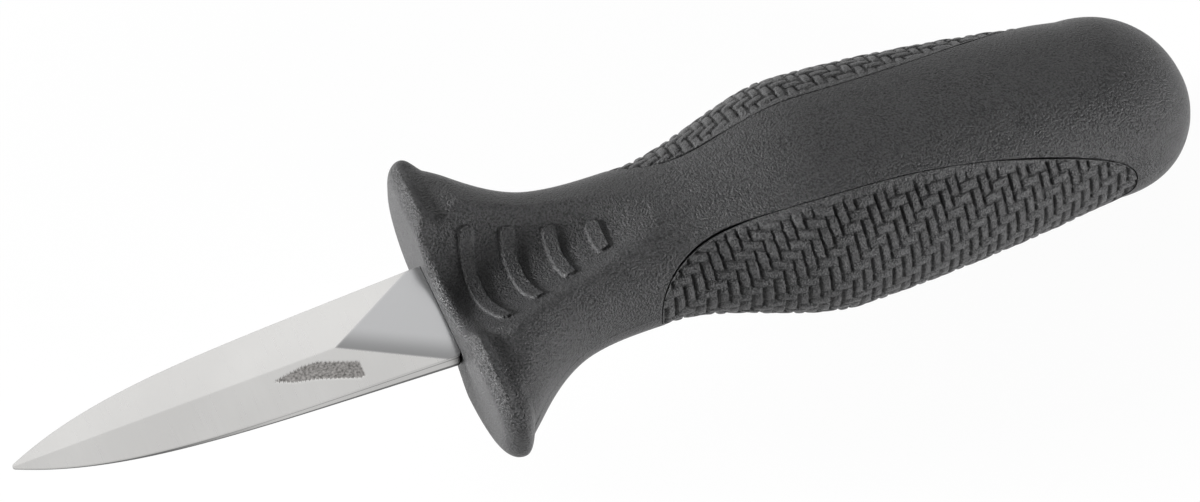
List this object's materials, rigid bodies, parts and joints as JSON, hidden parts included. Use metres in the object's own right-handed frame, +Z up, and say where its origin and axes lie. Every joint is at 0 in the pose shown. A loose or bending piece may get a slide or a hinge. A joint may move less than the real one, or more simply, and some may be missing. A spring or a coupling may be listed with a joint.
{
  "type": "oyster knife",
  "caption": "Oyster knife with a lancet blade fixed in a moulded handle that has a flared guard, ribbed thumb rests and textured grip panels.",
  "frame": {"origin": "on the surface the knife lies on, under the middle of its length and width", "axes": "+X from the blade's tip to the pommel, +Z up, square to the blade's flat; +Y across the blade"},
  "size_m": [0.165, 0.0442, 0.0274],
  "materials": {
    "blade_steel": "ground and satin polished stainless steel",
    "core_plastic": "as moulded",
    "handle_plastic": "fine moulded grain",
    "grip_rubber": "woven pattern moulded in relief"
  },
  "bodies": {
    "root": {"blade": "blade_steel", "handle_core": "core_plastic", "handle_body": "handle_plastic", "left_grip_panel": "grip_rubber", "right_grip_panel": "grip_rubber"}
  },
  "joints": []
}
